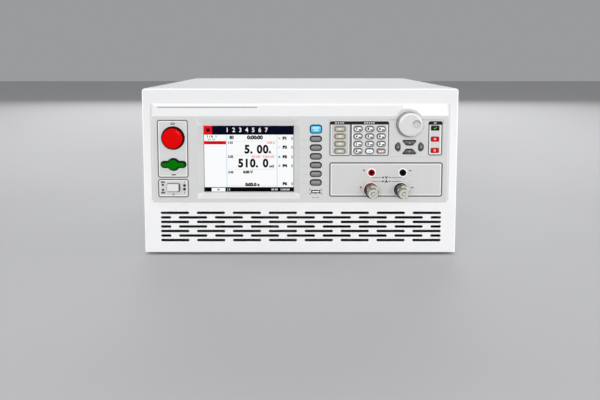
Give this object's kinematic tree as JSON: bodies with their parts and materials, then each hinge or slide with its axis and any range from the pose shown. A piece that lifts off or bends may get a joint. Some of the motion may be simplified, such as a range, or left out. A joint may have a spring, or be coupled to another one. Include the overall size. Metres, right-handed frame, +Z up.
{
  "type": "ground resistance tester",
  "caption": "Bench ground resistance tester: sheet-metal case with slotted front, colour display, keypad, jog knob, stop and start buttons, sense jacks and current posts.",
  "frame": {"origin": "on the surface it stands on, under the middle of its overall box", "axes": "+Z up, the front panel faces -Y, +X to the right seen from the front"},
  "size_m": [0.4324, 0.4404, 0.231],
  "materials": {
    "cover_paint": "fine texture",
    "plate_paint": "satin",
    "zinc_steel": "zinc plated",
    "bezel_white": "fine satin",
    "film_grey": "satin film",
    "screen_black": "gloss",
    "circuit_board": "solder mask",
    "lamp_red": "gloss",
    "connector_steel": "bright",
    "black_plastic": "moulded",
    "terminal_red": "gloss",
    "terminal_black": "gloss",
    "nickel": "satin nickel",
    "core_iron": "varnished laminations",
    "copper_winding": "taped winding",
    "aluminium": "extruded",
    "rubber": "matt",
    "screw_steel": "nickel plated",
    "button_red": "satin gloss",
    "button_green": "satin gloss",
    "knob_grey": "satin",
    "key_grey": "satin",
    "key_beige": "satin",
    "key_white": "satin",
    "key_blue": "satin gloss",
    "key_rose": "satin",
    "key_dark": "satin"
  },
  "bodies": {
    "root": {"top_cover": "cover_paint", "chassis_tray": "zinc_steel", "front_plate": "plate_paint", "front_bezel": "bezel_white", "front_overlay": "film_grey", "lcd_module": "screen_black", "front_board": "circuit_board", "indicator_leds": "lamp_red", "usb_port": "connector_steel", "button_collars": "black_plastic", "sense_jack_red": "terminal_red", "sense_jack_black": "terminal_black", "post_base_red": "terminal_red", "post_base_black": "terminal_black", "post_studs": "nickel", "rear_panel": "cover_paint", "fan_frame": "black_plastic", "mains_inlet": "black_plastic", "transformer_core": "core_iron", "transformer_coil": "copper_winding", "main_board": "circuit_board", "heat_sink": "aluminium", "rubber_feet": "rubber", "case_screws": "screw_steel"},
    "key_blue": {"key_blue": "key_blue"},
    "key_soft_1": {"key_soft_1": "key_grey"},
    "key_soft_2": {"key_soft_2": "key_grey"},
    "key_soft_3": {"key_soft_3": "key_grey"},
    "key_soft_4": {"key_soft_4": "key_grey"},
    "key_soft_5": {"key_soft_5": "key_grey"},
    "key_soft_6": {"key_soft_6": "key_grey"},
    "key_func_1": {"key_func_1": "key_beige"},
    "key_func_2": {"key_func_2": "key_beige"},
    "key_func_3": {"key_func_3": "key_beige"},
    "key_func_4": {"key_func_4": "key_beige"},
    "key_num_7": {"key_num_7": "key_white"},
    "key_num_8": {"key_num_8": "key_white"},
    "key_num_9": {"key_num_9": "key_white"},
    "key_num_4": {"key_num_4": "key_white"},
    "key_num_5": {"key_num_5": "key_white"},
    "key_num_6": {"key_num_6": "key_white"},
    "key_num_1": {"key_num_1": "key_white"},
    "key_num_2": {"key_num_2": "key_white"},
    "key_num_3": {"key_num_3": "key_white"},
    "key_num_0": {"key_num_0": "key_white"},
    "key_num_dot": {"key_num_dot": "key_white"},
    "key_enter": {"key_enter": "key_rose"},
    "key_up": {"key_up": "key_dark"},
    "key_down": {"key_down": "key_dark"},
    "key_left": {"key_left": "key_dark"},
    "key_right": {"key_right": "key_dark"},
    "stop_button": {"stop_button": "button_red"},
    "start_button": {"start_button": "button_green"},
    "power_button": {"power_button": "knob_grey"},
    "jog_knob": {"jog_knob": "knob_grey"},
    "post_washer_red": {"post_washer_red": "nickel"},
    "post_washer_black": {"post_washer_black": "nickel"},
    "post_nut_red": {"post_nut_red": "nickel"},
    "post_nut_black": {"post_nut_black": "nickel"},
    "fan_rotor": {"fan_rotor": "black_plastic"}
  },
  "joints": [
    {"name": "key_blue_press", "type": "slide", "parent": "root", "child": "key_blue", "axis": [0, 1, 0], "range_m": [0, 0.0015], "stiffness_N_per_m": 500},
    {"name": "key_soft_1_press", "type": "slide", "parent": "root", "child": "key_soft_1", "axis": [0, 1, 0], "range_m": [0, 0.0015], "stiffness_N_per_m": 500},
    {"name": "key_soft_2_press", "type": "slide", "parent": "root", "child": "key_soft_2", "axis": [0, 1, 0], "range_m": [0, 0.0015], "stiffness_N_per_m": 500},
    {"name": "key_soft_3_press", "type": "slide", "parent": "root", "child": "key_soft_3", "axis": [0, 1, 0], "range_m": [0, 0.0015], "stiffness_N_per_m": 500},
    {"name": "key_soft_4_press", "type": "slide", "parent": "root", "child": "key_soft_4", "axis": [0, 1, 0], "range_m": [0, 0.0015], "stiffness_N_per_m": 500},
    {"name": "key_soft_5_press", "type": "slide", "parent": "root", "child": "key_soft_5", "axis": [0, 1, 0], "range_m": [0, 0.0015], "stiffness_N_per_m": 500},
    {"name": "key_soft_6_press", "type": "slide", "parent": "root", "child": "key_soft_6", "axis": [0, 1, 0], "range_m": [0, 0.0015], "stiffness_N_per_m": 500},
    {"name": "key_func_1_press", "type": "slide", "parent": "root", "child": "key_func_1", "axis": [0, 1, 0], "range_m": [0, 0.0015], "stiffness_N_per_m": 500},
    {"name": "key_func_2_press", "type": "slide", "parent": "root", "child": "key_func_2", "axis": [0, 1, 0], "range_m": [0, 0.0015], "stiffness_N_per_m": 500},
    {"name": "key_func_3_press", "type": "slide", "parent": "root", "child": "key_func_3", "axis": [0, 1, 0], "range_m": [0, 0.0015], "stiffness_N_per_m": 500},
    {"name": "key_func_4_press", "type": "slide", "parent": "root", "child": "key_func_4", "axis": [0, 1, 0], "range_m": [0, 0.0015], "stiffness_N_per_m": 500},
    {"name": "key_num_7_press", "type": "slide", "parent": "root", "child": "key_num_7", "axis": [0, 1, 0], "range_m": [0, 0.0015], "stiffness_N_per_m": 500},
    {"name": "key_num_8_press", "type": "slide", "parent": "root", "child": "key_num_8", "axis": [0, 1, 0], "range_m": [0, 0.0015], "stiffness_N_per_m": 500},
    {"name": "key_num_9_press", "type": "slide", "parent": "root", "child": "key_num_9", "axis": [0, 1, 0], "range_m": [0, 0.0015], "stiffness_N_per_m": 500},
    {"name": "key_num_4_press", "type": "slide", "parent": "root", "child": "key_num_4", "axis": [0, 1, 0], "range_m": [0, 0.0015], "stiffness_N_per_m": 500},
    {"name": "key_num_5_press", "type": "slide", "parent": "root", "child": "key_num_5", "axis": [0, 1, 0], "range_m": [0, 0.0015], "stiffness_N_per_m": 500},
    {"name": "key_num_6_press", "type": "slide", "parent": "root", "child": "key_num_6", "axis": [0, 1, 0], "range_m": [0, 0.0015], "stiffness_N_per_m": 500},
    {"name": "key_num_1_press", "type": "slide", "parent": "root", "child": "key_num_1", "axis": [0, 1, 0], "range_m": [0, 0.0015], "stiffness_N_per_m": 500},
    {"name": "key_num_2_press", "type": "slide", "parent": "root", "child": "key_num_2", "axis": [0, 1, 0], "range_m": [0, 0.0015], "stiffness_N_per_m": 500},
    {"name": "key_num_3_press", "type": "slide", "parent": "root", "child": "key_num_3", "axis": [0, 1, 0], "range_m": [0, 0.0015], "stiffness_N_per_m": 500},
    {"name": "key_num_0_press", "type": "slide", "parent": "root", "child": "key_num_0", "axis": [0, 1, 0], "range_m": [0, 0.0015], "stiffness_N_per_m": 500},
    {"name": "key_num_dot_press", "type": "slide", "parent": "root", "child": "key_num_dot", "axis": [0, 1, 0], "range_m": [0, 0.0015], "stiffness_N_per_m": 500},
    {"name": "key_enter_press", "type": "slide", "parent": "root", "child": "key_enter", "axis": [0, 1, 0], "range_m": [0, 0.0015], "stiffness_N_per_m": 500},
    {"name": "key_up_press", "type": "slide", "parent": "root", "child": "key_up", "axis": [0, 1, 0], "range_m": [0, 0.0015], "stiffness_N_per_m": 500},
    {"name": "key_down_press", "type": "slide", "parent": "root", "child": "key_down", "axis": [0, 1, 0], "range_m": [0, 0.0015], "stiffness_N_per_m": 500},
    {"name": "key_left_press", "type": "slide", "parent": "root", "child": "key_left", "axis": [0, 1, 0], "range_m": [0, 0.0015], "stiffness_N_per_m": 500},
    {"name": "key_right_press", "type": "slide", "parent": "root", "child": "key_right", "axis": [0, 1, 0], "range_m": [0, 0.0015], "stiffness_N_per_m": 500},
    {"name": "stop_button_press", "type": "slide", "parent": "root", "child": "stop_button", "axis": [0, 1, 0], "range_m": [0, 0.003], "stiffness_N_per_m": 600},
    {"name": "start_button_press", "type": "slide", "parent": "root", "child": "start_button", "axis": [0, 1, 0], "range_m": [0, 0.0025], "stiffness_N_per_m": 600},
    {"name": "power_button_press", "type": "slide", "parent": "root", "child": "power_button", "axis": [0, 1, 0], "range_m": [0, 0.0035], "stiffness_N_per_m": 600},
    {"name": "jog_knob_turn", "type": "hinge", "parent": "root", "child": "jog_knob", "pos_m": [0.1463, -0.20125, 0.1842], "axis": [0, -1, 0], "continuous": true},
    {"name": "post_washer_red_slide", "type": "slide", "parent": "root", "child": "post_washer_red", "axis": [0, -1, 0], "range_m": [0, 0.004]},
    {"name": "post_nut_red_turn", "type": "hinge", "parent": "post_washer_red", "child": "post_nut_red", "pos_m": [0.0958, -0.20925, 0.0942], "axis": [0, -1, 0], "range_deg": [0, 1800]},
    {"name": "post_washer_black_slide", "type": "slide", "parent": "root", "child": "post_washer_black", "axis": [0, -1, 0], "range_m": [0, 0.004]},
    {"name": "post_nut_black_turn", "type": "hinge", "parent": "post_washer_black", "child": "post_nut_black", "pos_m": [0.1363, -0.20925, 0.0942], "axis": [0, -1, 0], "range_deg": [0, 1800]},
    {"name": "fan_rotor_spin", "type": "hinge", "parent": "root", "child": "fan_rotor", "pos_m": [0.125, 0.20175, 0.084], "axis": [0, 1, 0], "continuous": true}
  ],
  "couplings": [
    {"joint": "post_nut_red_turn", "follows": "post_washer_red_slide", "rad_per_m": 7854},
    {"joint": "post_nut_black_turn", "follows": "post_washer_black_slide", "rad_per_m": 7854}
  ]
}
